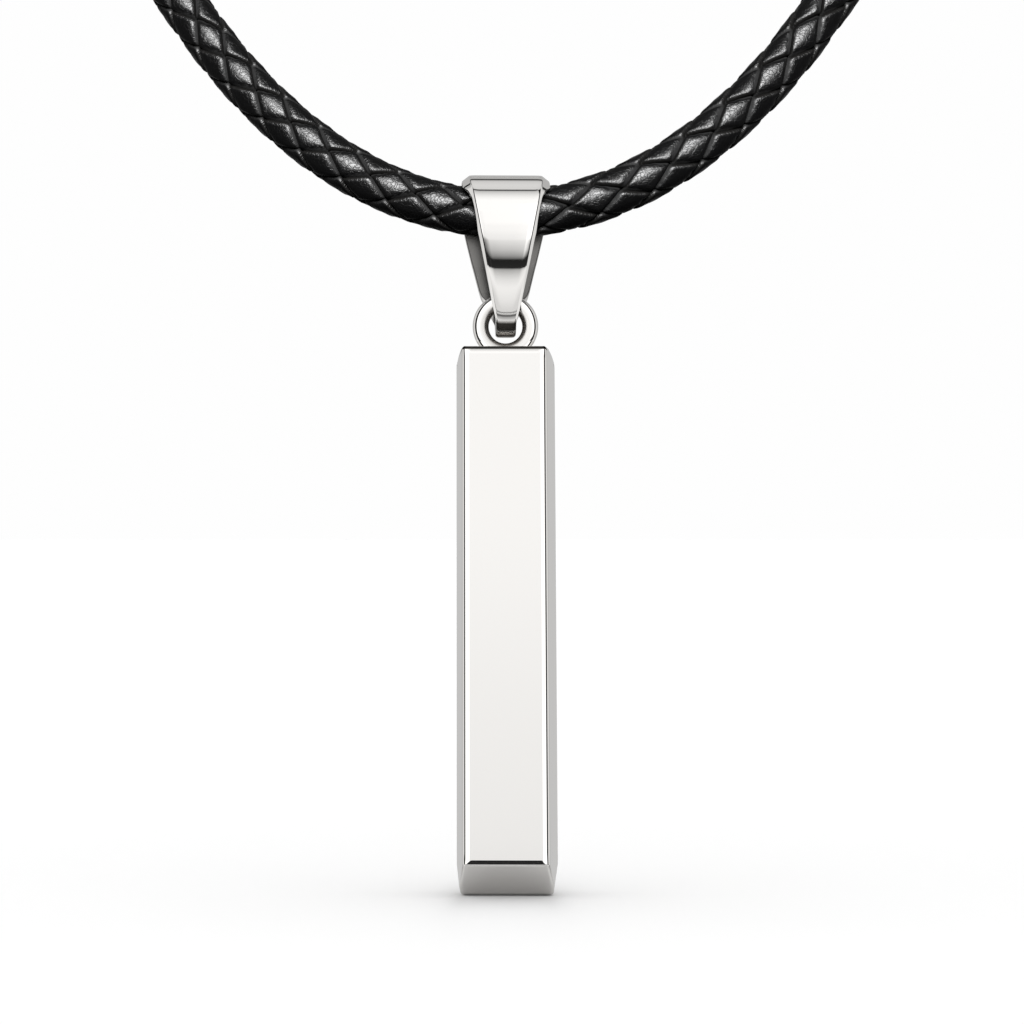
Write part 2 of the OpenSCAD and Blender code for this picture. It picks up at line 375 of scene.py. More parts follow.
# A skin over rows of points, each row a closed loop; the rows close to a ring or have two flat ends
def meshOfRows(name, rows, ring=True):
    bm = bmesh.new()
    verts = [[bm.verts.new(p) for p in row] for row in rows]
    around = len(rows[0])
    for a, b in zip(verts, verts[1:] + (verts[:1] if ring else [])):
        for k in range(around):
            after = (k + 1) % around
            bm.faces.new((a[k], b[k], b[after], a[after])).smooth = True
    if not ring:
        for row in (verts[0], verts[-1]):
            bm.faces.new(row)
    bmesh.ops.recalc_face_normals(bm, faces=bm.faces)
    mesh = bpy.data.meshes.new(name)
    bm.to_mesh(mesh)
    bm.free()
    return mesh


# How much of the material's darker colour, a painted shade, each point has, from 0 to 1, for one row or for all of
# them
def markShadeShare(mesh, marks):
    values = np.tile(np.array(marks, np.float32), len(mesh.vertices) // len(marks))
    mesh.attributes.new("inner", "FLOAT", "POINT").data.foreach_set("value", values)
    return mesh


# Bar: the CAD's solid with soft polished edges, and its ring
barSettings = {
    "length": 33.4,
    "depth": 6.0,
    "width": 6.0,
    "faceWidth": 5.1,
    "footBevel": 1.975,
    "footTaper": 0.28,
    "shoulderInset": 0.45,
    "shoulderHeight": 1.4,
    "shoulderFacets": 9,
    "turn": -1.3,
    "belowRing": 1.31,  # bar's top below the middle of the ring
    "edge": 0.2,  # how far the round of an edge reaches into each face
    "edgeSteps": 7,
    "edgeAngle": 13,  # in degrees; an edge less sharp than this isn't rounded
    "footEdge": 0.42,  # share of the round at the front and back edge over the foot's bevel
    "crown": [(0.2, 5.5), (0.08, 3.0), (0.06, 1.0)],  # the flats' soft margin: widths, tilts
    "cutSide": 2.0,  # the flats are cut this far from their middle line
    "cutEnd": 0.75,  # and from their ends, so that their shading stays even
    "topShadeDepth": 0.3,  # how far down from the top the painted shade line may reach
    "topShadeFacing": 0.2,  # on points that look this much to the front or back
    "topShadeByUp": {0.08: 0, 0.2: 1, 0.94: 1, 0.98: 0},  # its share by how much a point looks up
    "widen": 0.04,  # hanging and seen as in the photo, the foot is this share wider than the top
    "drift": 0.12,
    "ringRadius": 1.52,
    "ringWire": 0.98,
    "ringSquare": 3.2,  # how much the wire's section fills its corners, 2 being round
    "ringSteps": (128, 32),  # round the ring and round its wire
    "ringDullShade": 0.5,  # a point that looks inward this much has all of the inside colour, duller steel and painted shade
}


def barPlanes():
    s = barSettings
    top = -s["belowRing"]
    foot = top - s["length"]
    half = s["width"] / 2
    side = Vector((s["depth"] / 2, half - s["faceWidth"] / 2))  # x and y of a side facet's normal
    planes = [((0, 0, top), (0, 0, 1)), ((0, 0, foot), (0, 0, -1))]
    radius = (s["shoulderInset"] ** 2 + s["shoulderHeight"] ** 2) / (2 * s["shoulderInset"])
    sweep = math.asin(s["shoulderHeight"] / radius)
    for y in (-1, 1):
        planes.append(((0, y * s["depth"] / 2, 0), (0, y, 0)))
        planes.append(((0, y * s["depth"] / 2, foot + s["footBevel"]), (0, y, -1)))
        for x in (-1, 1):
            planes.append(((x * half, 0, 0), (x * side[0], y * side[1], 0)))
    for x in (-1, 1):
        planes.append(((x * (half - s["footTaper"]), 0, foot), (x * s["footBevel"], 0, -s["footTaper"])))
        for k in range(s["shoulderFacets"]):
            a = sweep * (k + 0.5) / s["shoulderFacets"]
            on = (x * (half - radius + radius * math.cos(a)), 0, top - s["shoulderHeight"] + radius * math.sin(a))
            planes.append((on, (x * math.cos(a), 0, math.sin(a))))
    return planes


def solidOfPlanes(planes):
    points = np.array([p for p, n in planes], float)
    normals = np.array([n for p, n in planes], float)
    normals /= np.linalg.norm(normals, axis=1)[:, None]
    reach = np.sum(points * normals, axis=1)
    corners = []
    for trio in combinations(range(len(planes)), 3):
        m = normals[list(trio)]
        if abs(np.linalg.det(m)) > 1e-4:
            corner = np.linalg.solve(m, reach[list(trio)])
            if np.all(normals @ corner <= reach + 1e-6):
                corners.append(corner)
    bm = bmesh.new()
    for corner in corners:
        bm.verts.new(corner)
    bmesh.ops.remove_doubles(bm, verts=bm.verts, dist=1e-4)
    hull = bmesh.ops.convex_hull(bm, input=bm.verts)
    loose = [e for e in hull["geom_interior"] + hull["geom_unused"] if isinstance(e, bmesh.types.BMVert)]
    bmesh.ops.delete(bm, geom=loose, context="VERTS")
    bmesh.ops.dissolve_limit(bm, angle_limit=math.radians(0.5), verts=bm.verts, edges=bm.edges)
    bmesh.ops.recalc_face_normals(bm, faces=bm.faces)
    return bm


# Gives the front and back flat a soft margin in steps, and cuts the mesh across at some places
def crownFlats(mesh, steps, cuts):
    bm = bmesh.new()
    bm.from_mesh(mesh)
    for face in sorted(bm.faces, key=lambda f: f.calc_area() * (abs(f.normal.y) > 0.99))[-2:]:
        for width, tilt in steps:
            rise = width * math.tan(math.radians(tilt))
            bmesh.ops.inset_individual(bm, faces=[face], thickness=width, depth=rise)
    for direction, places in cuts.items():
        for place in places:
            bmesh.ops.bisect_plane(bm, geom=[*bm.verts, *bm.edges, *bm.faces], plane_co=Vector(direction) * place,
                                   plane_no=direction)
    for face in bm.faces:
        face.smooth = True
    bm.to_mesh(mesh)
    bm.free()


# The top edges of the front and back, where a painted shade darkens the steel between the bar and its ring
def markTopEdgeShade(mesh, top):
    s = barSettings
    marks = []
    for vertex in mesh.vertices:
        near = vertex.co.z > top - s["topShadeDepth"] and abs(vertex.normal.y) > s["topShadeFacing"]
        marks.append(near * np.interp(vertex.normal.z, list(s["topShadeByUp"]), list(s["topShadeByUp"].values())))
    markShadeShare(mesh, marks)


def ringMesh():
    s = barSettings
    around, section = s["ringSteps"]
    wire, power = s["ringWire"] / 2, 2 / s["ringSquare"]
    rounds = [(math.cos(2 * math.pi * k / section), math.sin(2 * math.pi * k / section)) for k in range(section)]
    wireRow = [[wire * math.copysign(abs(v) ** power, v) for v in pair] for pair in rounds]
    rows = []
    for i in range(around):
        a = 2 * math.pi * i / around
        rows.append([((s["ringRadius"] + out) * math.cos(a), aside, (s["ringRadius"] + out) * math.sin(a))
                     for out, aside in wireRow])
    return markShadeShare(meshOfRows("ringSteel", rows), [min(1.0, max(0.0, -c) / s["ringDullShade"]) for c, d in rounds])


def makeBar(material, ringMaterial):
    s = barSettings
    bm = solidOfPlanes(barPlanes())
    top, bevelTop = -s["belowRing"], -s["belowRing"] - s["length"] + s["footBevel"]
    rounding = bm.edges.layers.float.new("bevel_weight_edge")
    for edge in bm.edges:
        low = all(abs(v.co.z - bevelTop) < 0.01 for v in edge.verts)
        edge[rounding] = (edge.calc_face_angle() > math.radians(s["edgeAngle"])) * (s["footEdge"] if low else 1.0)
    block = bpy.data.meshes.new("barBlock")
    bm.to_mesh(block)
    bm.free()
    block = finishedMesh(block, "BEVEL", {"width": s["edge"], "segments": s["edgeSteps"], "limit_method": "WEIGHT",
                                          "use_clamp_overlap": False})
    crownFlats(block, s["crown"], {(1, 0, 0): (-s["cutSide"], s["cutSide"]),
                                   (0, 0, 1): (bevelTop + s["cutEnd"], top - s["cutEnd"])})
    # painted shade along the top edges
    markTopEdgeShade(block, top)
    block = finishedMesh(block, "WEIGHTED_NORMAL", {"weight": 100, "keep_sharp": False})
    for vertex in block.vertices:
        down = (top - vertex.co.z) / s["length"]
        vertex.co.x += down * (s["drift"] + s["widen"] * vertex.co.x)
    place = Matrix.Translation(ringCentre) @ Matrix.Rotation(math.radians(s["turn"]), 4, "Z") @ Matrix.Scale(mm, 4)
    for mesh, name, steel in ((block, "barSteel", material), (ringMesh(), "ringSteel", ringMaterial)):
        mesh.transform(place)
        mesh.update()
        addPiece(name, mesh, "bar", ["bar"], steel)


# Bail: a strip bent over the cord, its section swept from the tip up the front and down the back.
# Lengths are in mm; heights are from the middle of the cord and the widths go by the length along
# the strip from the top of its arch, the front being positive.
bailSettings = {
    "height": 9.94,
    "wall": 0.5,
    "room": 1.82,  # radius of its inside over the cord
    "lean": {0.685: 0, 0.935: 0.9, 1.775: 4.6, 2.39: 5.0, 2.74: 5.45, 2.99: 6.1, 3.41: 12.2, 3.53: 13, 4.66: 14.1,
             5.93: 15},  # degrees that a leg leans in by how far down it is
    "tipSolid": 1.72,
    "tipFrom": -6.0,  # where the tip starts to round
    "innerTipHigher": 1.2,  # how much higher its inside starts to
    "tipCurve": (0.56, 0.62),  # lengths of the curve's handles at the leg and at the bottom, as shares
    "steps": (100, 136, 45),  # down a leg's table, from the bottom to the top of a leg, and over half the arch
    "halfWidth": {-12.1: 0.6, -10.7: 0.6, -9: 1.45, -5.45: 2.31, -4.1: 2.62, -3: 2.66, 1.6: 2.67, 1.76: 2.6,
                  2.12: 2.37, 2.43: 2.26, 2.72: 2.145, 3.48: 1.99, 4.21: 1.868, 4.94: 1.775, 5.43: 1.665,
                  8.49: 1.06, 9.3: 0.92, 10.65: 0.605, 12.1: 0.61},
    "faceHalf": {-12.1: 0.5, -10.7: 0.5, -9: 1.3, -5.45: 2.1, -3: 2.22, 1.3: 2.22, 2.12: 2.1, 5.81: 1.38, 8.49: 0.91,
                 10.65: 0.5, 12.1: 0.5},  # half width inside the chamfers
    "edgeRound": (0.2, 0.06),  # radii of the chamfer's inner and outer corner
    "chamfer": 38.0,
    "edgeTilt": 6.0,  # degrees that the soft margin has turned where the round edge starts
    "faceTilt": 22.0,  # and that the round edge has turned where faceHalf ends
    "margin": 0.3,
    "marginShare": 0.6,  # of the flat at most
    "innerEdge": 0.1,
    "cornerSteps": (8, 5, 4),  # points of the chamfer's two corners and of the inner edge
    "turn": 3.0,
    "grooveRadius": 0.61,  # room for the ring's wire
    "insideShare": 0.82,  # how much of the painted shade colour its inside has
    "tipShade": {-7.62: 0.4, -7.32: 0.4, -7.2: 1.0, -6.8: 1.0, -6.6: 0.0},  # and the painted shade at its tip, by height
}


def bailProfile(inset, low, tipFrom):
    s = bailSettings
    legSteps, sideSteps, archSteps = s["steps"]
    down = np.linspace(0, -s["tipFrom"], legSteps)
    down = down[down < 0.001 - tipFrom]
    lean = np.radians(np.interp(down, list(s["lean"]), list(s["lean"].values())))
    slope = np.tan(lean)
    y = -s["room"] - s["wall"] + np.concatenate([[0], np.cumsum((slope[1:] + slope[:-1]) / 2 * np.diff(down))])
    leg = [Vector(p) for p in zip(y + inset * np.cos(lean), -down + inset * np.sin(lean))][::-1]
    start, end = leg[0], lean[-1]
    atLeg, atBottom = s["tipCurve"]
    bottom = Vector((0, low))
    handles = (bottom + Vector((start.x * atBottom, 0)),
               start + atLeg * (start.y - low) * Vector((math.sin(end), -math.cos(end))))
    points = []
    count = sideSteps - len(down)
    for i in range(count):
        t = i / count
        u = 1 - t
        points.append(u ** 3 * bottom + 3 * u * u * t * handles[0] + 3 * u * t * t * handles[1] + t ** 3 * start)
    points += leg
    r = s["room"] + s["wall"] - inset
    for i in range(1, archSteps + 1):
        a = math.pi / 2 * i / archSteps
        points.append(Vector((-r * math.cos(a), r * math.sin(a))))
    rear = [Vector((-p.x, p.y)) for p in points[-2:0:-1]]
    return points + rear


# The value of a table at a place along the strip, with its corners smoothed
def alongStrip(table, along):
    return float(np.mean(np.interp(along + np.linspace(-0.12, 0.12, 7), list(table), list(table.values()))))


# A rounded corner: from a point on, its direction turns from one angle to another
def cornerPoints(x, depth, radius, start, end, count):
    angles = [start + (end - start) * k / (count - 1) for k in range(count)]
    return [(x + radius * (math.sin(a) - math.sin(start)), depth + radius * (math.cos(start) - math.cos(a)))
            for a in angles]


# One row across the strip at a place along it: half of the front, the chamfer and the inside, then mirrored
def bailSection(outer, inner, along):
    s = bailSettings
    thick = (outer - inner).length
    wide, face = alongStrip(s["halfWidth"], along), alongStrip(s["faceHalf"], along)
    tilt, chamfer = math.radians(s["edgeTilt"]), math.radians(s["chamfer"])
    soft, crisp = s["edgeRound"]
    softSteps, crispSteps, innerSteps = s["cornerSteps"]
    flat = face - soft * (math.sin(math.radians(s["faceTilt"])) - math.sin(tilt))
    margin = min(s["margin"], s["marginShare"] * flat)
    drop = margin * math.tan(tilt) / 2
    half = [(flat * k, 0.0) for k in (0.0, 0.25)] + [(flat - margin, 0.0)]
    half += [(flat - margin * (1 - k), drop * k * k) for k in (0.25, 0.5, 0.75)]
    half += cornerPoints(flat, drop, soft, tilt, chamfer, softSteps)
    x, depth = half[-1]
    corner = wide - crisp * (1 - math.sin(chamfer))
    deep = depth + (corner - x) * math.tan(chamfer)
    half += [(x + (corner - x) * k, depth + (deep - depth) * k) for k in (0.15, 0.85)]
    half += cornerPoints(corner, deep, crisp, chamfer, math.pi / 2, crispSteps)
    inside = [0.0] * len(half)
    e = s["innerEdge"]
    half += cornerPoints(wide, thick - e, e, math.pi / 2, math.pi, innerSteps)
    half += [((wide - e) * k, thick) for k in (0.6, 0.3, 0.0)]
    inside += [0.0, 0.7 * s["insideShare"]] + [s["insideShare"]] * 5
    points = half + [(-x, d) for x, d in half[-2:0:-1]]
    row = []
    for x, depth in points:
        at = outer.lerp(inner, depth / thick)
        row.append(Vector((x, at.x, at.y)))
    return row, inside + inside[-2:0:-1]


def makeBail(material):
    s = bailSettings
    low = s["room"] + s["wall"] - s["height"]
    outer = bailProfile(0.0, low, s["tipFrom"])
    inner = bailProfile(s["wall"], low + s["tipSolid"], s["tipFrom"] + s["innerTipHigher"])
    steps = np.cumsum([0] + [(b - a).length for a, b in zip(outer, outer[1:] + outer[:1])])
    place = Matrix.Translation(cordLow) @ Matrix.Rotation(math.radians(s["turn"]), 4, "Z") @ Matrix.Scale(mm, 4)
    ringPlace = Matrix.Translation(ringCentre) @ Matrix.Rotation(math.radians(barSettings["turn"]), 4, "Z")
    toRing = Matrix.Scale(1 / mm, 4) @ ringPlace.inverted()
    rows, marks = [], []
    tipHeights, tipShares = list(s["tipShade"]), list(s["tipShade"].values())
    for o, i, step in zip(outer, inner, steps):
        row = []
        section, inside = bailSection(o, i, steps[-1] / 2 - step)
        # painted shade inside the bail and at its tip
        tip = float(np.interp(o.y, tipHeights, tipShares))
        marks += [max(tip, share) for share in inside]
        for point in section:
            q = toRing @ (place @ point)
            reach = math.hypot(q.x, q.z)
            away = Vector((reach - barSettings["ringRadius"], q.y))
            if 0 < away.length < s["grooveRadius"]:
                away *= s["grooveRadius"] / away.length
                k = (barSettings["ringRadius"] + away.x) / reach
                q = Vector((q.x * k, away.y, q.z * k))
            row.append(toRing.inverted() @ q)
        rows.append(row)
    mesh = markShadeShare(meshOfRows("bailSteel", rows), marks)
    addPiece("bailSteel", mesh, "bail", ["bail"], material)


# Braid: eight laces, four each way round, each over one and under one.
# The route repeats the CAD's points from the lowest point to the nape, in mm: x, y back, z up.
cordSettings = {
    "drapeRadius": 16.9,
    "frontLean": 15.0,
    "frontPoints": 9,  # of the drape's own curve, the lowest one first
    "frontApart": 2.5,
    "sideRoute": [(32, 11, 32), (43, 23, 53), (53, 43, 76), (60, 66, 94), (62, 88, 106), (57, 108, 113),
                  (44, 122, 116), (27, 130, 116), (13, 132.5, 116), (3.12, 132.5, 116)],
    "routeStep": 0.05,
    "frontHalf": 27.0,  # how far from the middle the fine rings reach
    "fineStep": 0.12,
    "coarseStep": 0.4,
    "bailHalf": 2.8,  # the stretch inside the bail, where the laces shift
    "pitchLeft": 11.97,
    "pitchRight": 13.43,
    "crossLeft": -4.1,  # a middle crossing left of the bail, and one right of it
    "crossRight": 5.5,
    "turnRight": 225,  # degrees that the laces have gone round there
    "twist": {-22.5: -4.7, -4.5: -11.5, -2.8: -12, 2.8: -41, 5.5: -41.4, 22.3: -44},  # degrees round at mm along
}
braidSettings = {
    "Strands": 4,
    "Lace Radius": 1.275 * mm,  # middle of a lace where it lies on top
    "Dive": 0.22 * mm,  # half of how far it goes in under the next
    "Flat Top": 4.2,  # how long it stays up before it dives
    "Lace Width": 1.51 * mm,
    "Lace Thickness": 0.45 * mm,
    "Bend Radius": 1.75 * mm,
    "Corner Power": 0.36,  # how much a lace's section fills its corners, 1 being round
    "Section Points": 14,
    "Grain Shift": 37.0,  # mm between the patterns of one lace and the next
}


def cordRoute():
    s = cordSettings
    lean = math.tan(math.radians(s["frontLean"]))
    half = []
    for k in range(s["frontPoints"]):
        x = s["frontApart"] * k
        z = s["drapeRadius"] * (math.cosh(x / s["drapeRadius"]) - 1)
        half.append((x, z * lean, z))
    half += s["sideRoute"]
    left = [(-x, y, z) for x, y, z in half[:0:-1]]
    return np.array(left + half, float)


def smoothPath(points):
    legs = np.diff(points, axis=0)
    lengths = np.linalg.norm(legs, axis=1)
    units = legs / lengths[:, None]
    tangents = [units[0]]
    for i in range(1, len(points) - 1):
        t = units[i - 1] * lengths[i] + units[i] * lengths[i - 1]
        tangents.append(t / np.linalg.norm(t))
    tangents.append(units[-1])
    fine = [points[0]]
    for i, length in enumerate(lengths):
        count = max(1, round(length / cordSettings["routeStep"]))
        t = (np.arange(1, count + 1) / count)[:, None]
        m, n = tangents[i] * length, tangents[i + 1] * length
        fine.extend((2 * t**3 - 3 * t**2 + 1) * points[i] + (t**3 - 2 * t**2 + t) * m
                    + (3 * t**2 - 2 * t**3) * points[i + 1] + (t**3 - t**2) * n)
    return np.array(fine)


# How far the laces have gone round, in degrees, so that crossings fall where they do in the photo
def laceTurn(stops):
    s = cordSettings
    edge = s["bailHalf"]

    def left(place):
        return 360 * (place - s["crossLeft"]) / s["pitchLeft"]

    def right(place):
        return 360 * (place - s["crossRight"]) / s["pitchRight"] + s["turnRight"]

    between = left(-edge) + (stops + edge) / (2 * edge) * (right(edge) - left(-edge))
    return np.where(stops < -edge, left(stops), np.where(stops > edge, right(stops), between))


# The cord's middle line with its directions and with the laces' turn
def cordPath():
    s = cordSettings
    fine = smoothPath(cordRoute())
    along = np.concatenate([[0], np.cumsum(np.linalg.norm(np.diff(fine, axis=0), axis=1))])
    along -= along[np.argmin(fine[:, 2])]
    reach, front = along[-1], s["frontHalf"]
    middle = np.linspace(-front, front, round(2 * front / s["fineStep"]) + 1)
    rest = np.linspace(front, reach, round((reach - front) / s["coarseStep"]) + 1)[1:]
    stops = np.concatenate([-rest[::-1], middle, rest])
    at = np.stack([np.interp(stops, along, fine[:, k]) for k in range(3)], axis=1)
    tangent = np.gradient(at, axis=0)
    tangent /= np.linalg.norm(tangent, axis=1)[:, None]
    outward = np.zeros_like(at)
    start = int(np.argmin(np.abs(stops)))
    outward[start] = (0, -1, 0)
    for steps in (range(start + 1, len(at)), range(start - 1, -1, -1)):
        last = outward[start]
        for i in steps:
            if abs(stops[i]) < front:
                last = np.array((0, -1, 0))
            last = last - tangent[i] * np.dot(last, tangent[i])
            last = last / np.linalg.norm(last)
            outward[i] = last
    beside = np.cross(tangent, outward)
    turn = np.radians(laceTurn(stops))
    twist = np.radians(np.interp(stops, list(s["twist"]), list(s["twist"].values())))
    return {"along": stops, "turn": turn, "rate": np.gradient(turn, stops * mm), "twist": twist,
            "centre": at * mm + np.array(cordLow), "axis": tangent, "outward": outward, "beside": beside}


def pathMesh(path):
    mesh = bpy.data.meshes.new("cordPath")
    count = len(path["along"])
    mesh.from_pydata([tuple(p) for p in path["centre"]], [(i, i + 1) for i in range(count - 1)], [])
    for name, data in path.items():
        kind, field = ("FLOAT", "value") if data.ndim == 1 else ("FLOAT_VECTOR", "vector")
        mesh.attributes.new(name, kind, "POINT").data.foreach_set(field, data.astype(np.float32).ravel())
    return mesh


def named(tree, name, kind="FLOAT"):
    return addNode(tree, "GeometryNodeInputNamedAttribute", {"Name": name}, data_type=kind).outputs["Attribute"]


def stored(tree, geometry, name, value, kind="FLOAT", domain="POINT"):
    values = {"Geometry": geometry, "Name": name, "Value": value}
    return addNode(tree, "GeometryNodeStoreNamedAttribute", values, data_type=kind, domain=domain).outputs[0]


def laceSection(tree, take):
    circle = addNode(tree, "GeometryNodeCurvePrimitiveCircle", {"Resolution": take["Section Points"], "Radius": 1.0})
    spot = addNode(tree, "ShaderNodeSeparateXYZ", {0: addNode(tree, "GeometryNodeInputPosition").outputs[0]}).outputs
    sides = []
    for axis, size in (("Y", "Lace Width"), ("X", "Lace Thickness")):
        filled = calc(tree, "POWER", calc(tree, "ABSOLUTE", spot[axis]), take["Corner Power"])
        signed = calc(tree, "MULTIPLY", filled, calc(tree, "SIGN", spot[axis]))
        sides.append(calc(tree, "MULTIPLY", signed, calc(tree, "MULTIPLY", take[size], 0.5)))
    bend = calc(tree, "MULTIPLY", take["Bend Radius"], 2.0)
    sag = calc(tree, "DIVIDE", calc(tree, "MULTIPLY", sides[0], sides[0]), bend)
    section = stored(tree, circle.outputs["Curve"], "across", sides[0])
    bent = combined(tree, calc(tree, "SUBTRACT", sides[1], sag), sides[0], 0.0)
    return addNode(tree, "GeometryNodeSetPosition", {"Geometry": section, "Position": bent}).outputs[0]


def braidGroup():
    inputs = [("Path", "NodeSocketGeometry", None), ("Direction", "NodeSocketFloat", 1.0)]
    for name, value in braidSettings.items():
        inputs.append((name, "NodeSocketInt" if isinstance(value, int) else "NodeSocketFloat", value))
    inputs.append(("Leather", "NodeSocketMaterial", None))
    tree, take, give = newGroup("braidLaces", "GeometryNodeTree", inputs, [("Laces", "NodeSocketGeometry")])
    outward, beside = named(tree, "outward", "FLOAT_VECTOR"), named(tree, "beside", "FLOAT_VECTOR")
    # each lace winds round the cord at the same radius
    curve = addNode(tree, "GeometryNodeMeshToCurve", {"Mesh": take["Path"]}).outputs[0]
    copies = addNode(tree, "GeometryNodeDuplicateElements", {"Geometry": curve, "Amount": take["Strands"]},
                     domain="SPLINE").outputs
    index = copies["Duplicate Index"]
    lane = calc(tree, "MULTIPLY", take["Direction"], named(tree, "turn"))
    share = calc(tree, "DIVIDE", index, take["Strands"])
    lane = calc(tree, "ADD", lane, calc(tree, "MULTIPLY", share, 2 * math.pi))
    angle = calc(tree, "ADD", lane, named(tree, "twist"))
    radial = vectorCalc(tree, "ADD", scaled(tree, outward, calc(tree, "COSINE", angle)),
                        scaled(tree, beside, calc(tree, "SINE", angle)))
    moved = addNode(tree, "GeometryNodeSetPosition",
                    {"Geometry": copies["Geometry"], "Offset": scaled(tree, radial, take["Lace Radius"])}).outputs[0]
    tangent = addNode(tree, "GeometryNodeInputTangent").outputs[0]
    slope = scaled(tree, tangent, vectorCalc(tree, "DOT_PRODUCT", radial, tangent))
    normal = vectorCalc(tree, "NORMALIZE", vectorCalc(tree, "SUBTRACT", radial, slope))
    turned = addNode(tree, "GeometryNodeSetCurveNormal", {"Curve": moved, "Normal": normal}, mode="FREE").outputs[0]
    laces = addNode(tree, "GeometryNodeCurveToMesh",
                    {"Curve": turned, "Profile Curve": laceSection(tree, take), "Fill Caps": True}).outputs[0]
    # then every point sinks where the laces of the other direction lie on top
    reach = vectorCalc(tree, "SUBTRACT", addNode(tree, "GeometryNodeInputPosition").outputs[0],
                       named(tree, "centre", "FLOAT_VECTOR"))
    ahead = vectorCalc(tree, "DOT_PRODUCT", reach, named(tree, "axis", "FLOAT_VECTOR"))
    out, aside = vectorCalc(tree, "DOT_PRODUCT", reach, outward), vectorCalc(tree, "DOT_PRODUCT", reach, beside)
    around = calc(tree, "SUBTRACT", calc(tree, "ARCTAN2", aside, out), named(tree, "twist"))
    turn = calc(tree, "MULTIPLY_ADD", ahead, named(tree, "rate"), named(tree, "turn"))
    cross = calc(tree, "MULTIPLY_ADD", take["Direction"], turn, around)
    phase = calc(tree, "MULTIPLY_ADD", index, math.pi, calc(tree, "MULTIPLY", cross, 2.0))
    swing = calc(tree, "MULTIPLY", take["Direction"], calc(tree, "COSINE", phase))
    laces = stored(tree, laces, "lift", calc(tree, "TANH", calc(tree, "MULTIPLY", swing, take["Flat Top"])))
    sink = calc(tree, "MULTIPLY", calc(tree, "SUBTRACT", named(tree, "lift"), 1.0), take["Dive"])
    away = vectorCalc(tree, "ADD", scaled(tree, outward, out), scaled(tree, beside, aside))
    offset = scaled(tree, vectorCalc(tree, "NORMALIZE", away), sink)
    laces = addNode(tree, "GeometryNodeSetPosition", {"Geometry": laces, "Offset": offset}).outputs[0]
    down = calc(tree, "MULTIPLY_ADD", index, take["Grain Shift"], named(tree, "along"))
    place = combined(tree, calc(tree, "MULTIPLY", named(tree, "across"), 1 / mm), down, 0.0)
    laces = stored(tree, laces, "strandUv", place, "FLOAT2", "CORNER")
    laces = addNode(tree, "GeometryNodeSetShadeSmooth", {"Geometry": laces, "Shade Smooth": True}).outputs[0]
    laces = addNode(tree, "GeometryNodeRealizeInstances", {"Geometry": laces}).outputs[0]
    laces = addNode(tree, "GeometryNodeSetMaterial", {"Geometry": laces, "Material": take["Leather"]}).outputs[0]
    tree.links.new(laces, give["Laces"])
    return tree


# Core of the cord, a dark fibre strand that shows only between the laces
coreSettings = {
    "radius": 0.86 * mm,
    "sides": 10,
    "ringsApart": 4,  # steps of the cord's path
    "fibreScale": 4000.0,
    "tone": (0.002, 0.006),
    "roughness": 0.9,
    "specular": 0.05,
}


def coreMaterial():
    s = coreSettings
    material, tree, shader = newMaterial("coreLeather")
    place = addNode(tree, "ShaderNodeTexCoord").outputs["Object"]
    fibre = addNode(tree, "ShaderNodeTexNoise", {"Vector": place, "Scale": s["fibreScale"], "Detail": 2.0}).outputs[0]
    tree.links.new(grey(tree, mapped(tree, fibre, 0.3, 0.7, *s["tone"])), shader.inputs["Base Color"])
    shader.inputs["Roughness"].default_value = s["roughness"]
    shader.inputs["Specular IOR Level"].default_value = s["specular"]
    return material


def coreMesh(path):
    s = coreSettings
    angles = [2 * math.pi * k / s["sides"] for k in range(s["sides"])]
    last = len(path["along"]) - 1
    rows = []
    for i in [*range(0, last, s["ringsApart"]), last]:
        sides = [math.cos(a) * path["outward"][i] + math.sin(a) * path["beside"][i] for a in angles]
        rows.append([path["centre"][i] + s["radius"] * side for side in sides])
    return meshOfRows("cordCore", rows, ring=False)


def makeBraid(leather, core):
    path = cordPath()
    group = braidGroup()
    pieces = []
    for name, direction in (("lacesClockwise", 1.0), ("lacesCounter", -1.0)):
        inputs = dict(braidSettings, Direction=direction, Leather=leather)
        mesh = finishedMesh(pathMesh(path), "NODES", {"node_group": group}, inputs)
        print(name, sum(len(p.vertices) - 2 for p in mesh.polygons), "triangles")
        pieces.append(addPiece(name, mesh, "loop", ["cord"], leather))
    pieces.append(addPiece("cordCore", coreMesh(path), "loop", ["cord"], core))
    return pieces


# A soft key light that only the leather takes, high and in front
keySettings = {
    "place": (0.0, -0.73, 0.36),  # metres from the cord's lowest point
    "size": 0.44,
    "power": 205.0,
}


def makeKey(pieces):
    data = bpy.data.lights.new("leatherKey", "AREA")
    data.shape = "DISK"
    data.size = keySettings["size"]
    data.energy = keySettings["power"]
    lamp = bpy.data.objects.new("leatherKey", data)
    lamp.location = cordLow + Vector(keySettings["place"])
    lamp.rotation_euler = Vector(keySettings["place"]).to_track_quat("Z", "Y").to_euler()
    bpy.context.scene.collection.objects.link(lamp)
    lit = bpy.data.collections.new("leatherPieces")
    for piece in pieces:
        lit.objects.link(piece)
    lamp.light_linking.receiver_collection = lit


# Floor, pale, with a painted shade that the bar keeps on it; distances in mm from the middle of the bar's foot
floorSettings = {
    "half": 3.0,  # metres
    "gap": 0.05 * mm,  # between the foot and the floor
    "footHalf": (2.6, 1.25),
    "shadeFrom": -2.2,  # the shade lies a little in front
    "shade": 0.28,
    "shadeReach": 5.5,
    "shadeNarrow": 7.0,  # and falls off this much faster to the sides
    "lift": 0.04,  # light that the bar keeps off the floor but the photo's floor has
    "reflectedShade": (0.68, 0.88),  # painted shade seen only in reflections: how much of the floor's light the foot's bevel shows, at the foot and further out
    "mirrorRise": 1.75,
    "mirrorReach": (4.0, 6.5),  # beyond this a reflection sees the studio's table instead
}


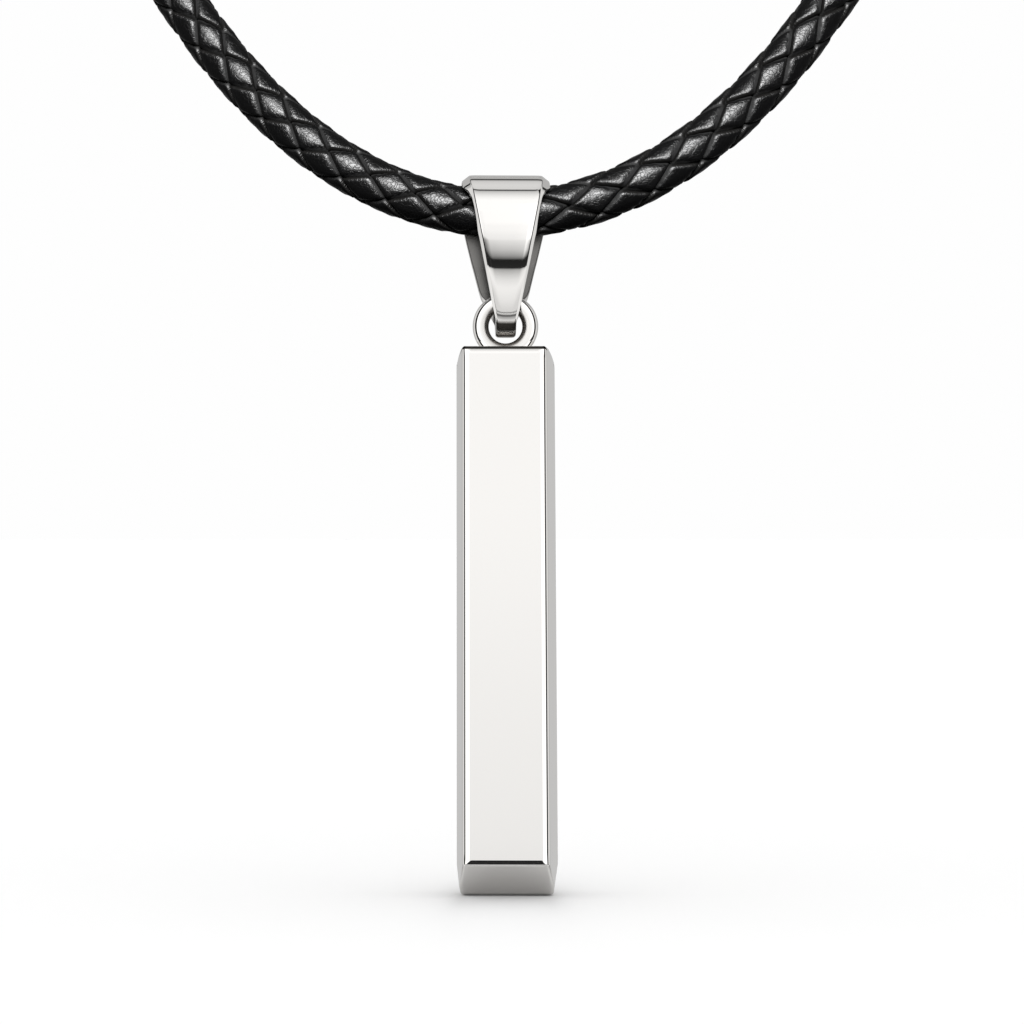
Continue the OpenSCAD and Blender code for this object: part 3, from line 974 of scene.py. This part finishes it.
def makeFloor():
    s = floorSettings
    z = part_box("bar")[0][2] - s["gap"]
    mesh = bpy.data.meshes.new("floor")
    corners = [(x * s["half"], y * s["half"], z) for x, y in ((-1, -1), (1, -1), (1, 1), (-1, 1))]
    mesh.from_pydata(corners, [], [(0, 1, 2, 3)])
    floor = bpy.data.objects.new("floor", mesh)
    bpy.context.scene.collection.objects.link(floor)
    material, tree, shader = newMaterial("paleFloor")
    shader.inputs["Roughness"].default_value = 1.0
    shader.inputs["Specular IOR Level"].default_value = 0.0
    hanging = addNode(tree, "ShaderNodeTexCoord")  # by the bar's place, so that the shade goes with the bar
    hanging.object = bpy.data.objects["barSteel"]
    offset = vectorCalc(tree, "SUBTRACT", hanging.outputs["Object"], (ringCentre.x, ringCentre.y, z))
    part = addNode(tree, "ShaderNodeSeparateXYZ", {0: scaled(tree, offset, 1 / mm)}).outputs
    beyond, ahead = (calc(tree, "SUBTRACT", calc(tree, "ABSOLUTE", part[axis]), half)
                     for axis, half in zip("XY", s["footHalf"]))
    across, lifted = (calc(tree, "MULTIPLY", value, s["shadeNarrow"])
                      for value in (calc(tree, "MAXIMUM", beyond, 0.0), part["Z"]))
    behind = calc(tree, "SUBTRACT", part["Y"], s["shadeFrom"])
    reach = vectorCalc(tree, "LENGTH", combined(tree, across, behind, lifted))
    fall = calc(tree, "POWER", calc(tree, "DIVIDE", reach, s["shadeReach"]), 2.0)
    shade = calc(tree, "SUBTRACT", 1.0, calc(tree, "DIVIDE", s["shade"], calc(tree, "ADD", fall, 1.0)))
    # painted shade that only reflections see
    reflectedShade = mapped(tree, ahead, 0.0, s["mirrorRise"], *s["reflectedShade"])
    glossy = addNode(tree, "ShaderNodeLightPath").outputs["Is Glossy Ray"]
    tone = calc(tree, "MULTIPLY", shade, blended(tree, glossy, 1.0, reflectedShade))
    tree.links.new(grey(tree, tone), shader.inputs["Base Color"])
    tree.links.new(grey(tree, calc(tree, "SUBTRACT", 1.0, glossy)), shader.inputs["Emission Color"])
    shader.inputs["Emission Strength"].default_value = s["lift"]
    radius = vectorCalc(tree, "LENGTH", combined(tree, part["X"], part["Y"], 0.0))
    far = mapped(tree, radius, *s["mirrorReach"], 0.0, 1.0, "SMOOTHSTEP")
    clear = addNode(tree, "ShaderNodeBsdfTransparent")
    gone = calc(tree, "MULTIPLY", far, glossy)
    mix = addNode(tree, "ShaderNodeMixShader", {0: gone, 1: shader.outputs[0], 2: clear.outputs[0]})
    tree.links.new(mix.outputs[0], tree.nodes["Material Output"].inputs["Surface"])
    mesh.materials.append(material)


polishMarks = polishGroup()
makeBar(steelMaterial("barPolish", polishMarks, "paintedShadeColour"),
        steelMaterial("ringPolish", polishMarks, "insideShadeColour"))
print("stage: bar and ring")
makeBail(steelMaterial("bailPolish", polishMarks, "paintedShadeColour"))
print("stage: bail")
leatherPieces = makeBraid(leatherMaterial(), coreMaterial())
print("stage: braid")
frame["nodes"]["clasp"].material_slots[0].material = steelMaterial("claspPolish", polishMarks)
makeKey(leatherPieces)
makeFloor()
print("stage: floor and light")
